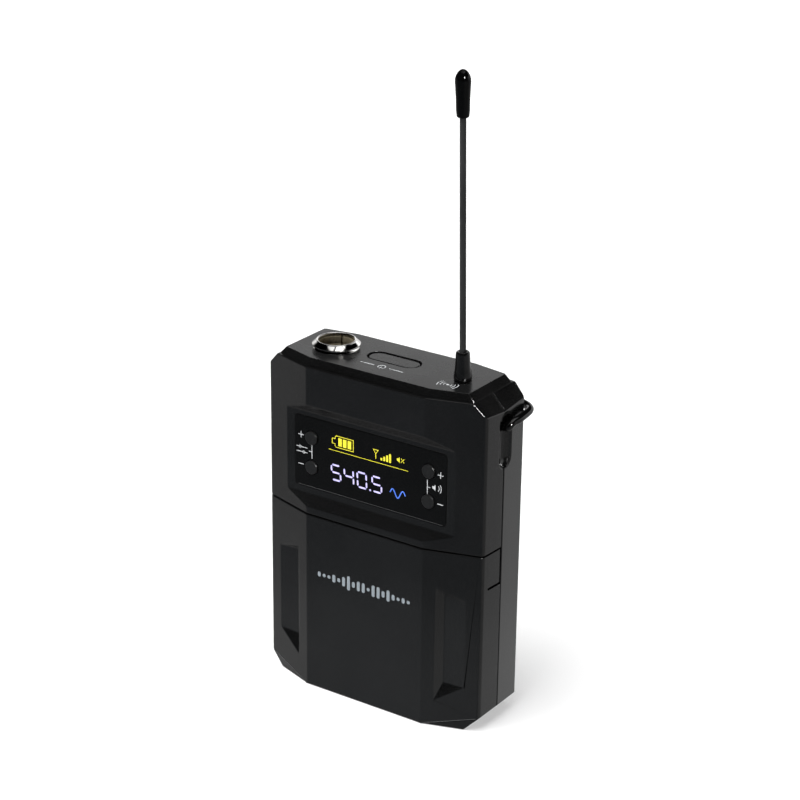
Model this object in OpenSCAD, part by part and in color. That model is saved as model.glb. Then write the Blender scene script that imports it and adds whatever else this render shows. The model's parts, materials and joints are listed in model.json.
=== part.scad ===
// Bodypack transmitter for an electric guitar, in millimetres, +Z up, standing on its base.
// A faceted case is split front and back along a parting line. The lower front is a battery
// door on a hinge pin, held by a squeeze tab on each side. The display and its four keys are
// in the upper front, and the socket, power key and antenna stand on the top plate.
// Depths are counted from the front flat towards the back, then the whole part is moved so
// that its origin is the middle of its footprint.

/* [Case] */
// Width across the parting line
case_width = 65; // [64:0.5:68]
// Depth from the front flat to the back flat
case_depth = 24; // [24:0.5:26]
// Height to the ledge round the top plate
case_height = 87.2; // [87:0.1:89]
// Width of the flat middle of the front and of the back
flat_width = 35; // [34:0.5:37]
// How far a front facet falls back at its outer edge
front_fall = 4.4; // [4:0.1:5]
// How far a back facet comes forward at its outer edge
back_fall = 2.5; // [2.4:0.05:2.7]
// Depth of the parting line between the front parts and the rear shell
parting_depth = 11.9; // [11.8:0.1:12.2]
// Wall thickness of the mouldings
wall = 2; // [1.9:0.1:2.1]

/* [Top] */
// Height of the top plate above the ledge
plate_rise = 1.9; // [1.5:0.1:2.5]
// Socket centre, to the left of the middle
socket_offset = 16.6; // [16:0.1:17]
// Socket centre, behind the front flat
socket_depth = 11.5; // [11.3:0.1:11.8]
// Bore of the socket
socket_bore = 8.86; // [8.8:0.01:8.9]
// Power key centre, behind the front flat
power_depth = 12.6; // [12.4:0.1:12.8]
// Length of the power key
power_length = 14.2; // [13:0.1:15]
// Width of the power key
power_width = 5; // [4.8:0.1:5]

/* [Antenna] */
// Antenna centre, to the right of the middle
antenna_offset = 21; // [20.5:0.1:22]
// Antenna centre, behind the front flat
antenna_depth = 10.8; // [10.5:0.1:11.5]
// Length of the antenna above the top plate
antenna_length = 75.2; // [50:0.1:120]
// Lean of the antenna towards the middle, in degrees
antenna_lean = 1.4; // [0:0.1:2]
// Diameter of the rod
rod_diameter = 1.55; // [1.5:0.05:1.7]

/* [Display] */
// Depth of the display recess below the front flat
recess_depth = 2.28; // [2:0.01:2.4]
// Width of the display window
window_width = 45; // [44:0.1:46]
// Height of the display window
window_height = 18.7; // [18:0.1:19]
// Height of the middle of the window above the base
window_middle = 63.75; // [63.5:0.05:64]
// Distance of each key column from the middle
key_offset = 17.4; // [17:0.1:17.6]
// Distance between the two keys of a column
key_pitch = 7.9; // [7:0.1:8.4]
// Diameter of a key
key_diameter = 3.6; // [3.2:0.1:3.8]

/* [Battery bay] */
// Height of the seam above the battery door
seam_height = 47.9; // [47.7:0.1:48]
// Diameter of an AA cell
cell_diameter = 14.4; // [14.2:0.1:14.5]
// Length of an AA cell over its positive nub
cell_length = 50.5; // [50.3:0.1:50.5]
// Diameter of the door's hinge pin
pin_diameter = 1.5; // [1.4:0.1:1.6]

/* [Belt clip] */
// Diameter of the spring wire
wire_diameter = 2; // [1.9:0.1:2]
// Distance of each leg from the middle
leg_offset = 17.5; // [15:0.5:19]

/* [Hidden] */
$fn = 48;

seam_gap = 0.25;
overlap = 1;
half_width = case_width / 2;
half_flat = flat_width / 2;
facet_width = half_width - half_flat;
front_corner = [half_width - 0.5, front_fall];
back_corner = [half_width - 0.5, case_depth - back_fall];
top_chamfer = [3.2, 3.3];
bottom_chamfer = 4;
case_top = case_height + plate_rise;
clip_back = case_depth + 4.6;
origin_depth = clip_back / 2;

// Top plate: its foot stands on the ledge and its sides slope in
plate_foot_inset = [1.05, 3.9];
plate_top_inset = [1.8, 5.65];
plate_plug_inset = [3, 6.2];
plate_plug_drop = 1.2;

// Depth of each layer behind the front flat
window_thickness = 1.2;
backing_depth = 4.8;
key_face_depth = recess_depth - 0.5;
board_depth = 7.4;
board_thickness = 1.6;
key_travel = 0.35;

// Screws that pull the front shell to the rear shell
screw_offset = 26.8;
screw_heights = [52.6, 66];
screw_seat_depth = 18.5;

// Hinge of the battery door, a barrel that just reaches the base and the parting line
barrel_radius = 2.1;
barrel_gap = 0.1;
hinge_depth = parting_depth - barrel_gap - barrel_radius;
hinge_height = barrel_radius;
lug_places = [-22, 0, 22];
lug_width = 4;

// Squeeze tabs of the door
tab_low = 38.95;
tab_front = 6.9;
tab_back = 11.3;
tab_slot = 0.65;

// Cells lie across the case, one above the other
cell_depth = 12.9;
cell_heights = [15.6, 32.2];
contact_place = 27;

// Power key, how far its face is below the plate and the gap round it
power_recess = 0.15;
power_gap = 0.45;

// Throat of the socket, its height above the plate, and its contact pins on a circle
socket_throat = 5.9;
socket_rise = 2.1;
barrel_outer = 5.25;
relief_radius = 4.85;
pin_circle = 2;

// Parts of the antenna, measured along it
boot_height = 7.4;
tip_length = 11.2;

// Pivot of the belt clip in the side channels
pivot_depth = 13.2;
pivot_height = 78.9;
channel_middle = 12.55;

black = "#26292b";
gloss_black = "#141517";
grey_top = "#4d4f50";
steel = "silver";

// ---------------------------------------------------------------- outlines

function unit(v) = v / norm(v);

// Points of the arc that rounds corner p between its two neighbours
function corner_arc(before, p, after, radius, steps) =
    let (
        a = unit(before - p),
        b = unit(after - p),
        half = acos(a * b) / 2,
        centre = p + unit(a + b) * radius / sin(half),
        first = p + a * radius / tan(half) - centre,
        last = p + b * radius / tan(half) - centre,
        turn = 180 - 2 * half,
        side = sign(first[0] * last[1] - first[1] * last[0])
    )
    [for (i = [0:steps])
        let (angle = side * turn * i / steps)
        centre + [first[0] * cos(angle) - first[1] * sin(angle),
                  first[0] * sin(angle) + first[1] * cos(angle)]];

// Rounds every corner given as [point, radius]; a radius of 0 stays sharp
function rounded(corners) =
    let (count = len(corners))
    [for (i = [0:count - 1])
        let (
            here = corners[i],
            before = corners[(i + count - 1) % count][0],
            after = corners[(i + 1) % count][0]
        )
        each here[1] == 0 ? [here[0]] : corner_arc(before, here[0], after, here[1], 5)];

function mirrored(half) = [
    each half,
    for (i = [len(half) - 1:-1:0]) [[-half[i][0][0], half[i][0][1]], half[i][1]]
];

function rectangle(width, height, radius) = rounded([
    for (corner = [[1, 1], [-1, 1], [-1, -1], [1, -1]])
        [[corner[0] * width / 2, corner[1] * height / 2], radius]
]);

case_plan = rounded(mirrored([
    [[half_flat, 0], 0],
    [front_corner, 1.2],
    [[half_width, parting_depth], 0],
    [back_corner, 1],
    [[half_flat, case_depth], 0]
]));

// Outline of the top plate: inset from the front, back and facets, then from the sides
function plate_outline(inset) =
    let (
        x = half_width - inset[1],
        reach = (x - half_flat) / facet_width
    )
    rounded(mirrored([
        [[half_flat, inset[0]], 0],
        [[x, inset[0] + front_fall * reach], 0.6],
        [[x, case_depth - inset[0] - back_fall * reach], 0.6],
        [[half_flat, case_depth - inset[0]], 0]
    ]));

// Cross-section of the case seen from the front
elevation = [
    [half_width - 0.5 - bottom_chamfer, 0],
    [half_width + 0.5, bottom_chamfer + 1],
    [half_width + 0.5, case_height - top_chamfer[1] * (1 + 1 / top_chamfer[0])],
    [half_width - 0.5 - top_chamfer[0], case_height],
    [-half_width + 0.5 + top_chamfer[0], case_height],
    [-half_width - 0.5, case_height - top_chamfer[1] * (1 + 1 / top_chamfer[0])],
    [-half_width - 0.5, bottom_chamfer + 1],
    [-half_width + 0.5 + bottom_chamfer, 0]
];

// ---------------------------------------------------------------- helpers

module placed() translate([0, -origin_depth, 0]) children();

module mirror_copy() {
    children();
    mirror([1, 0, 0]) children();
}

// A box from its lowest to its highest corner
module box(low, high) translate(low) cube(high - low);

// Extrudes a depth and height profile across the case
module across(from, to) translate([from, 0, 0]) rotate([90, 0, 90])
    linear_extrude(to - from) children();

// Extrudes a width and height profile from one depth to another
module through(from, to) translate([0, to, 0]) rotate([90, 0, 0])
    linear_extrude(to - from) children();

module rod_across(from, to, depth, height, radius)
    translate([from, depth, height]) rotate([0, 90, 0]) cylinder(r = radius, h = to - from);

module rod_inward(place, from, to, radius)
    translate([place[0], from, place[1]]) rotate([-90, 0, 0]) cylinder(r = radius, h = to - from);

// The outside of the case, or with an inset the space inside its walls
module case_block(inset = 0) intersection() {
    linear_extrude(case_height) offset(delta = -inset) polygon(case_plan);
    through(-overlap, case_depth + overlap) offset(delta = -inset) polygon(elevation);
}

module slab(low, high) box([-half_width - 2, -overlap, low], [half_width + 2, case_depth + overlap, high]);

module front_half() box(
    [-half_width - 2, -overlap, -overlap],
    [half_width + 2, parting_depth - seam_gap / 2, case_height + overlap]);

module rear_half() box(
    [-half_width - 2, parting_depth + seam_gap / 2, -overlap],
    [half_width + 2, case_depth + overlap, case_height + overlap]);

// A solid between two outlines that have the same number of points
module loft(lower, low, upper, high) {
    count = len(lower);
    polyhedron(
        points = [for (p = lower) [p[0], p[1], low], for (p = upper) [p[0], p[1], high]],
        faces = [
            [for (i = [0:count - 1]) i],
            [for (i = [count - 1:-1:0]) count + i],
            for (i = [0:count - 1])
                let (next = (i + 1) % count)
                [i, count + i, count + next, next]
        ]);
}

// A tube through rings of points, each ring turning by the right-hand rule along the tube
module tube(rings) {
    last = len(rings) - 1;
    sides = len(rings[0]);
    polyhedron(
        points = [for (ring = rings) each ring],
        faces = [
            [for (k = [0:sides - 1]) k],
            [for (k = [sides - 1:-1:0]) last * sides + k],
            for (i = [0:last - 1], k = [0:sides - 1])
                let (next = (k + 1) % sides)
                [i * sides + k, (i + 1) * sides + k, (i + 1) * sides + next, i * sides + next]
        ]);
}

// Stadium outline of the power key
module stadium(length, width) polygon(rectangle(length, width, width / 2 - 0.01));

module key_places()
    for (x = [-key_offset, key_offset], z = [-key_pitch / 2, key_pitch / 2])
        translate([x, 0, window_middle + z]) children();

module screw_places()
    for (x = [-screw_offset, screw_offset], z = screw_heights)
        translate([x, 0, z]) children();

// Channel down each side wall in which the belt clip's ends sit
module side_channels() mirror_copy() {
    radius = 3.2;
    depth = 1.65;
    ends = [71.4, 80.4];
    axis = half_width + radius - depth;
    translate([axis, channel_middle, ends[0]]) cylinder(r = radius, h = ends[1] - ends[0]);
    for (z = ends) translate([axis, channel_middle, z]) sphere(r = radius);
}

// Opening under the top plate
module top_opening() translate([0, 0, case_height - wall - overlap])
    linear_extrude(wall + 2 * overlap) polygon(plate_outline(plate_plug_inset));

// ---------------------------------------------------------------- shells

module display_recess() across(-half_width, half_width) polygon([
    [-1, 49.05],
    [recess_depth, 52.5],
    [recess_depth, 74.5],
    [-1, 78.4]
]);

module front_shell() color(black) placed() difference() {
    union() {
        difference() {
            intersection() {
                case_block();
                front_half();
                slab(seam_height + seam_gap, case_height + overlap);
            }
            intersection() {
                case_block(wall);
                slab(seam_height + wall, case_height);
            }
        }
        intersection() {
            case_block();
            box([-26, 0, seam_height + 1], [26, backing_depth, 79]);
        }
        intersection() {
            case_block(wall / 2);
            screw_places() rod_inward([0, 0], 2, 12.9, 2.4);
        }
    }
    display_recess();
    through(recess_depth - overlap, recess_depth + window_thickness + 0.05)
        translate([0, window_middle]) polygon(rectangle(window_width + 0.1, window_height + 0.1, 1));
    box([-14.3, recess_depth, 55.2], [14.3, backing_depth + overlap, 72.7]);
    key_places() rod_inward([0, 0], recess_depth, backing_depth + overlap, key_diameter / 2 + 0.1);
    screw_places() rod_inward([0, 0], 6.5, 14, 1.02);
    top_opening();
    side_channels();
}

module rear_shell() color(black) placed() difference() {
    union() {
        difference() {
            intersection() {
                case_block();
                rear_half();
            }
            case_block(wall);
        }
        intersection() {
            case_block(wall / 2);
            union() {
                screw_places() rod_inward([0, 0], 13, case_depth, 2.9);
                mirror_copy() rod_across(28.6, half_width, pivot_depth + 1.5, pivot_height, 2.7);
                mirror_copy() box([28.9, 13, 68], [half_width, 17.5, 84.5]);
            }
            rear_half();
        }
        for (x = lug_places) {
            rod_across(x - lug_width / 2, x + lug_width / 2, hinge_depth, hinge_height, 1.9);
            across(x - lug_width / 2, x + lug_width / 2) polygon([
                [hinge_depth, 4], [hinge_depth, hinge_height], [11.5, hinge_height],
                [11.8, 2.5], [12.9, 0.2], [14, 0.2], [14, 4]
            ]);
        }
    }
    // Foot of the parting edge, relieved for the door's swing
    across(-half_width, half_width) polygon([
        [hinge_depth + 1.95, 2.7], [12.8, 0], [12.8, -1], [hinge_depth + 1.95, -1]
    ]);
    for (x = lug_places)
        rod_across(x - lug_width, x + lug_width, hinge_depth, hinge_height, pin_diameter / 2 + 0.01);
    screw_places() {
        rod_inward([0, 0], 12, case_depth, 1.1);
        rod_inward([0, 0], screw_seat_depth, case_depth + overlap, 2);
    }
    mirror_copy() rod_across(28.9, half_width + overlap, pivot_depth, pivot_height, wire_diameter / 2 + 0.06);
    // Shallow panel on the back for a rating label
    through(case_depth - 0.4, case_depth + overlap) translate([0, 22]) polygon(rectangle(25, 28, 1.5));
    top_opening();
    side_channels();
}

module top_plate() color(grey_top) placed() difference() {
    union() {
        loft(plate_outline(plate_foot_inset), case_height,
             plate_outline(plate_top_inset), case_top);
        translate([0, 0, case_height - plate_plug_drop]) linear_extrude(plate_plug_drop + 0.5)
            offset(delta = -0.1) polygon(plate_outline(plate_plug_inset));
    }
    translate([-socket_offset, socket_depth, 0]) cylinder(r = barrel_outer + 0.1, h = case_top + overlap);
    translate([antenna_offset, antenna_depth, 0]) cylinder(r = 2.1, h = case_top + overlap);
    translate([0, power_depth, 0]) linear_extrude(case_top + overlap)
        stadium(power_length + 2 * power_gap, power_width + 2 * power_gap);
}

module case_screws() color(steel) placed() screw_places() difference() {
    union() {
        rod_inward([0, 0], 7, screw_seat_depth + 0.1, 1);
        rod_inward([0, 0], screw_seat_depth, screw_seat_depth + 1.3, 1.8);
    }
    for (turn = [0, 90])
        translate([0, screw_seat_depth + 1, 0]) rotate([0, turn, 0])
            cube([2.2, 1, 0.5], center = true);
}

// ---------------------------------------------------------------- display and keys

module display_window() color(gloss_black) placed() difference() {
    through(recess_depth, recess_depth + window_thickness)
        translate([0, window_middle]) polygon(rectangle(window_width, window_height, 0.95));
    key_places() rod_inward([0, 0], 0, backing_depth, key_diameter / 2 + 0.1);
}

module display_module() color("darkslategray") placed() {
    box([-14, recess_depth + window_thickness + 0.1, 55.5], [14, 5.4, 72.4]);
    box([-12.8, 5.3, 57], [12.8, 6.4, 71]);
}

module key(x, z) color(gloss_black) placed() {
    place = [x, window_middle + z];
    rod_inward(place, key_face_depth, backing_depth + 0.3, key_diameter / 2);
    rod_inward(place, backing_depth + 0.08, backing_depth + 0.6, key_diameter / 2 + 0.5);
}

module key_switches() color("dimgray") placed() key_places() {
    plunger_depth = backing_depth + 0.6 + key_travel + 0.05;
    box([-1.8, board_depth - 1.2, -1.8], [1.8, board_depth, 1.8]);
    rod_inward([0, 0], plunger_depth, board_depth - 1, 0.8);
}

module main_board() color("darkgreen") placed() through(board_depth, board_depth + board_thickness)
    polygon([[-23.8, 50.4], [23.8, 50.4], [23.8, 82.5], [-8.5, 82.5], [-8.5, 73.8], [-23.8, 73.8]]);

module radio_shield() color(steel) placed() difference() {
    depth = board_depth + board_thickness;
    box([-6, depth, 54], [19, depth + 3, 73]);
    box([-5.6, depth - 1, 54.4], [18.6, depth + 2.6, 72.6]);
}

// ---------------------------------------------------------------- power key and socket

module power_key() color(gloss_black) placed() translate([0, power_depth, 0]) {
    flange_low = case_height - wall - 0.1;
    translate([0, 0, flange_low]) linear_extrude(case_top - power_recess - flange_low)
        stadium(power_length, power_width);
    translate([0, 0, flange_low]) linear_extrude(0.8) stadium(power_length + 1.6, power_width + 1.6);
    translate([0, 0, 84]) cylinder(r = 1.6, h = 1.5);
}

module power_switch() color("dimgray") placed() {
    box([-3.2, board_depth + board_thickness, 78.4], [3.2, power_depth + 3.2, 82.2]);
    translate([0, power_depth, 82]) cylinder(r = 1.6, h = 1.3);
}

module socket_column() placed() translate([-socket_offset, socket_depth, 0]) children();

module socket_barrel() color("gainsboro") socket_column() rotate_extrude($fn = 72) {
    bore = socket_bore / 2;
    rim = case_top + socket_rise;
    throat = rim - socket_throat;
    polygon([
        [bore, 77], [barrel_outer, 77], [barrel_outer, case_top], [5.6, case_top],
        [5.6, case_top + 0.5], [6.05, case_top + 0.55], [6.05, case_top + 1],
        [4.8, rim - 0.05], [bore, rim], [bore, throat],
        [relief_radius, throat], [relief_radius, 79.7], [bore, 79.7]
    ]);
}

module socket_nut() color(steel) socket_column() difference() {
    translate([0, 0, 83.8]) cylinder(r = 7, h = 2.15, $fn = 6);
    cylinder(r = barrel_outer + 0.02, h = case_top);
}

module socket_pin_places() for (turn = [45:90:315]) rotate(turn) translate([pin_circle, 0, 0]) children();

module socket_insert() color("dimgray") socket_column() difference() {
    translate([0, 0, 77.2]) cylinder(r = socket_bore / 2 - 0.02, h = 2.4);
    socket_pin_places() cylinder(r = 0.5, h = case_top);
}

module socket_pins() color("gold") socket_column() socket_pin_places() {
    translate([0, 0, 74.5]) cylinder(r = 0.49, h = 9.8);
    translate([0, 0, 84.3]) sphere(r = 0.49);
}

// ---------------------------------------------------------------- antenna

module antenna_column() placed() translate([antenna_offset, antenna_depth, case_top])
    rotate([0, -antenna_lean, 0]) children();

module antenna_boot() color(gloss_black) antenna_column() rotate_extrude() {
    rod = rod_diameter / 2;
    polygon([
        [rod + 0.02, 0.1], [2.05, 0.1], [2.2, 0.5], [2.22, 1.2], [2.1, 2.2], [1.9, 3.6],
        [1.78, 5.4], [1.7, boot_height - 0.4], [1.45, boot_height], [rod + 0.3, boot_height],
        [rod + 0.02, boot_height - 0.4]
    ]);
}

module antenna_rod() color(gloss_black) antenna_column()
    translate([0, 0, -5]) cylinder(d = rod_diameter, h = antenna_length + 1.5);

module antenna_tip() color(gloss_black) antenna_column() difference() {
    low = antenna_length - tip_length;
    rotate_extrude() polygon([
        [0, low], [1.3, low], [1.48, low + 0.3], [1.62, low + 1.7], [1.66, low + 4],
        [1.78, low + 6.4], [1.9, low + 8.3], [1.85, low + 9], [1.66, low + 9.7],
        [1.2, low + 10.5], [0.6, low + 11.05], [0, low + tip_length]
    ]);
    cylinder(d = rod_diameter + 0.04, h = antenna_length - 3.4);
}

module antenna_ferrule() color("goldenrod") antenna_column() difference() {
    translate([0, 0, -6]) cylinder(r = 1.9, h = 5.9);
    translate([0, 0, -5.1]) cylinder(d = rod_diameter + 0.04, h = 6);
}

// ---------------------------------------------------------------- battery door

// Grip pocket in the right facet: flush at its outer edge and deepest at its inner edge
module grip_pocket() {
    slope = front_fall / facet_width;
    facet_point = function (x, z) [x, slope * (x - half_flat), z];
    depth = [0, 1.65, 0];
    floor_top = facet_point(22.2, 35.9) + depth;
    floor_low = facet_point(22.2, 11.8) + depth;
    outward = function (from, edge) from + 1.4 * (edge - from);
    polyhedron(
        points = [
            floor_top, floor_low,
            outward(floor_top, facet_point(28.6, 35.4)), outward(floor_low, facet_point(28.6, 12)),
            outward(floor_low, facet_point(20.6, 6.9)), outward(floor_top, facet_point(20.6, 37.9))
        ],
        faces = [[1, 3, 2, 0], [0, 5, 4, 1], [2, 5, 0], [4, 3, 1], [3, 4, 5, 2]]);
}

// Shallow facet that thins the lower right corner of the front
module corner_crease() {
    across_slope = 0.335;
    up_slope = 0.119;
    crease_point = function (x, z)
        [x, across_slope * (x - half_flat - 0.1) - up_slope * (z - 0.4), z];
    polyhedron(
        points = [
            for (x = [14, 36], z = [-2, 7])
                each [crease_point(x, z), crease_point(x, z) - [0, 6, 0]]
        ],
        faces = [[6, 2, 0, 4], [3, 7, 5, 1], [1, 5, 4, 0], [2, 6, 7, 3], [2, 3, 1, 0], [7, 6, 4, 5]]);
}

module tab_zone(low, high, front, back) mirror_copy() box([28, front, low], [half_width + 1, back, high]);

module battery_door() color(black) placed() difference() {
    union() {
        difference() {
            intersection() {
                case_block();
                front_half();
                slab(0, seam_height - seam_gap / 2);
            }
            case_block(wall);
        }
        // Backing behind the grip pockets
        intersection() {
            difference() {
                case_block();
                case_block(wall + 0.9);
            }
            mirror_copy() box([19.4, -1, 5.5], [30, 7, 39.4]);
        }
        rod_across(-27.8, 27.8, hinge_depth, hinge_height, barrel_radius);
    }
    mirror_copy() grip_pocket();
    tab_zone(tab_low - tab_slot, seam_height + overlap, tab_front - 0.2, parting_depth + overlap);
    mirror_copy() corner_crease();
    // Round the hinge edge to the barrel, then clear the rear shell's lugs
    difference() {
        box([-half_width, hinge_depth, -1], [half_width, parting_depth + 1, hinge_height]);
        rod_across(-half_width, half_width, hinge_depth, hinge_height, barrel_radius);
    }
    for (x = lug_places) {
        rod_across(x - lug_width / 2 - 0.2, x + lug_width / 2 + 0.2, hinge_depth, hinge_height, 2.3);
        box([x - lug_width / 2 - 0.2, hinge_depth, -1], [x + lug_width / 2 + 0.2, 13, 6]);
    }
    rod_across(-26, 26, hinge_depth, hinge_height, pin_diameter / 2 + 0.05);
}

// One tab of the door's side wall, with the arm that reaches into the rear shell. The rounded
// rib down its front edge is where it bends.
module latch_tab() color(black) placed() {
    translate([half_width - 2.5, tab_front + 0.4, tab_low])
        cylinder(r = 0.45, h = seam_height - seam_gap / 2 - tab_low);
    intersection() {
        difference() {
            case_block();
            case_block(wall);
        }
        box([28, tab_front, tab_low], [half_width + 1, tab_back, seam_height - seam_gap / 2]);
    }
    intersection() {
        box([28.95, 9.4, 41], [30.6, tab_back, 45]);
        case_block(0.5);
    }
    box([28.95, 9.4, 41], [29.85, 13.4, 45]);
}

module door_hinge_pin() color(steel) placed()
    rod_across(-25.5, 25.5, hinge_depth, hinge_height, pin_diameter / 2);

// ---------------------------------------------------------------- battery bay

module battery_tray() color("#3a3d3f") placed() difference() {
    intersection() {
        case_block(wall + 0.15);
        union() {
            box([-28.4, 12, 4.8], [28.4, case_depth, 40.4]);
            mirror_copy() box([27.45, 7.4, 6.6], [28.4, 12, 40.4]);
            box([-27.8, 19, 40], [27.8, case_depth, 47.6]);
            box([-27.8, 3.4, 45.8], [27.8, case_depth, 47.6]);
        }
    }
    for (z = cell_heights) {
        rod_across(-25.7, 25.7, cell_depth, z, cell_diameter / 2 + 0.15);
        box([-contact_place - 0.45, 7, z - 6], [contact_place + 0.45, 18.4, z + 6]);
    }
    box([contact_place - 0.1, 7, cell_heights[0]], [contact_place + 0.45, 18.4, cell_heights[1]]);
}

module cell(height, pointing) color("#b8863b") placed() translate([0, cell_depth, height])
    rotate([0, 90 * pointing, 0]) translate([0, 0, -cell_length / 2]) {
        cylinder(d = cell_diameter, h = cell_length - 1);
        cylinder(d = 5.5, h = cell_length);
    }

// Conical coil spring that presses on a cell's flat end, standing on z = 0
module coil_spring(height) {
    turns = 2.25;
    steps = 36;
    sides = 6;
    wire = 0.26;
    tube([for (i = [0:steps])
        let (
            t = i / steps,
            angle = 360 * turns * t,
            radius = 3.6 - 1.9 * t
        )
        [for (k = [0:sides - 1])
            let (a = -360 * k / sides, reach = radius + wire * cos(a))
            [reach * cos(angle), reach * sin(angle), wire + (height - 2 * wire) * t + wire * sin(a)]]]);
}

// Contact parts on the right end wall, facing left
module contact_plate(low, high)
    box([contact_place, cell_depth - 4.5, low], [contact_place + 0.4, cell_depth + 4.5, high]);

module contact_bump(height) translate([contact_place, cell_depth, height]) rotate([0, -90, 0])
    cylinder(r1 = 3, r2 = 2, h = contact_place - cell_length / 2 - 0.02);

module contact_spring(height) translate([contact_place + 0.1, cell_depth, height]) rotate([0, -90, 0])
    coil_spring(contact_place - cell_length / 2 + 0.1);

module linking_contact() color(steel) placed() {
    contact_plate(cell_heights[0] - 4.5, cell_heights[1] + 4.5);
    contact_bump(cell_heights[1]);
    contact_spring(cell_heights[0]);
}

module positive_contact() color(steel) placed() mirror([1, 0, 0]) {
    contact_plate(cell_heights[0] - 4.5, cell_heights[0] + 4.5);
    contact_bump(cell_heights[0]);
}

module negative_contact() color(steel) placed() mirror([1, 0, 0]) {
    contact_plate(cell_heights[1] - 4.5, cell_heights[1] + 4.5);
    contact_spring(cell_heights[1]);
}

// ---------------------------------------------------------------- belt clip

// Route of the wire's right half, from the pivot round the rear corner and down the back
clip_half = [
    [31.6, pivot_depth, pivot_height],
    [32.4, pivot_depth, pivot_height],
    [33, pivot_depth + 0.1, pivot_height + 0.3],
    [33.35, pivot_depth + 0.3, pivot_height + 0.8],
    [33.5, pivot_depth + 0.8, pivot_height + 1.4],
    [33.6, pivot_depth + 1.7, pivot_height + 1.8],
    [33.7, 17.5, 81.4],
    [33.7, 20, 81.9],
    [33.55, 21.1, 82.05],
    [33.1, 22.1, 82.15],
    [32.3, 22.9, 82.2],
    [31.1, 23.5, 82.2],
    [leg_offset + 3.2, 26.3, 82.1],
    [leg_offset + 1.2, 26.9, 81.5],
    [leg_offset + 0.2, 27.2, 80.3],
    [leg_offset, 27.3, 78.6],
    [leg_offset, 26.6, 38],
    [leg_offset, 26.7, 34],
    [leg_offset - 0.5, 26.9, 32],
    [leg_offset - 1.8, 27.2, 30.2],
    [leg_offset - 4, 27.5, 29.3],
    [leg_offset - 7, 27.6, 29]
];
clip_route = [
    each clip_half,
    for (i = [len(clip_half) - 1:-1:0]) [-clip_half[i][0], clip_half[i][1], clip_half[i][2]]
];

// One ring of a round wire, square to its route at point i
function wire_ring(route, i, radius, sides) =
    let (
        along = unit(route[min(i + 1, len(route) - 1)] - route[max(i - 1, 0)]),
        u = unit(cross(along, unit([1, 2, 3]))),
        v = cross(along, u)
    )
    [for (k = [0:sides - 1])
        let (angle = 360 * k / sides)
        route[i] + radius * (cos(angle) * u + sin(angle) * v)];

module belt_clip() color(gloss_black) placed() {
    tube([for (i = [0:len(clip_route) - 1]) wire_ring(clip_route, i, wire_diameter / 2, 12)]);
    mirror_copy() rod_across(29.2, 32, pivot_depth, pivot_height, wire_diameter / 2);
}

// ---------------------------------------------------------------- parts

front_shell();
rear_shell();
top_plate();
display_window();
display_module();
key(-key_offset, key_pitch / 2);  // set_plus_key
key(-key_offset, -key_pitch / 2);  // set_minus_key
key(key_offset, key_pitch / 2);  // volume_plus_key
key(key_offset, -key_pitch / 2);  // volume_minus_key
key_switches();
main_board();
radio_shield();
power_key();
power_switch();
socket_barrel();
socket_nut();
socket_insert();
socket_pins();
antenna_boot();
antenna_rod();
antenna_tip();
antenna_ferrule();
battery_door();
mirror([1, 0, 0]) latch_tab();  // latch_tab_left
latch_tab();  // latch_tab_right
door_hinge_pin();
battery_tray();
cell(cell_heights[1], 1);  // upper_cell
cell(cell_heights[0], -1);  // lower_cell
linking_contact();
positive_contact();
negative_contact();
belt_clip();
case_screws();
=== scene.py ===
"""Studio picture of a guitar's bodypack transmitter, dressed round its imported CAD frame."""
import json
import math

import bmesh
import bpy
from mathutils import Matrix, Vector

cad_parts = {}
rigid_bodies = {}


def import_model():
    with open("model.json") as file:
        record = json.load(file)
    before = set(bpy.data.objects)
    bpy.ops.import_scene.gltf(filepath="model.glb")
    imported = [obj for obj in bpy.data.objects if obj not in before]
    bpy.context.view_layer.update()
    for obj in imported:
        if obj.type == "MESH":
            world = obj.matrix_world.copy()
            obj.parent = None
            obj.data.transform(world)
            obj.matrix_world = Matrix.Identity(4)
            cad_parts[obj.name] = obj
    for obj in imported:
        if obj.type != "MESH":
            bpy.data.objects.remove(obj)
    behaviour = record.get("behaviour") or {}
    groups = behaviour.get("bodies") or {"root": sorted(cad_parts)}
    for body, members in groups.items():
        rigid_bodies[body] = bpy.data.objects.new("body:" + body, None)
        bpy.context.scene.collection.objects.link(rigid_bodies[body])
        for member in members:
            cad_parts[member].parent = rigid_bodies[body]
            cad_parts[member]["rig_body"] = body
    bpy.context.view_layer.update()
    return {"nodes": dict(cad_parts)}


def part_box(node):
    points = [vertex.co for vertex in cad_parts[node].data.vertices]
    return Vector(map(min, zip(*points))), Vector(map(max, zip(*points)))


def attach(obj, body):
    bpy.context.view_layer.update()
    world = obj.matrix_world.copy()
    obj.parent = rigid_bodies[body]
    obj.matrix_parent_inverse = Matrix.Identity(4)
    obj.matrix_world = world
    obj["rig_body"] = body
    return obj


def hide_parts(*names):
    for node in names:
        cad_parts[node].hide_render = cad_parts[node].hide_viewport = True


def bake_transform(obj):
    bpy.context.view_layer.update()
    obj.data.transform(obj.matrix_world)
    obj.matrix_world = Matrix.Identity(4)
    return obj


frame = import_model()
nodes = frame["nodes"]

MM = 0.001
# Heights and depths in millimetres, but FRONT, the place of the front flat, in metres
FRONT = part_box("front_shell")[0].y
BACK = (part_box("rear_shell")[1].y - FRONT) / MM
PLATE_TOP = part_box("top_plate")[1].z / MM
WINDOW_FACE = (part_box("display_window")[0].y - FRONT) / MM
# Folds sharper than SHARP are rounded, and those sharper than GENTLE between flats wider than BROAD
SHARP = math.radians(28)
GENTLE = math.radians(4)
BROAD = 0.7 * MM


def at(x, depth, height):
    """A point from millimetres: across, behind the front flat, and up."""
    return Vector((x * MM, FRONT + depth * MM, height * MM))


# ---------------------------------------------------------------- camera

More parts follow.
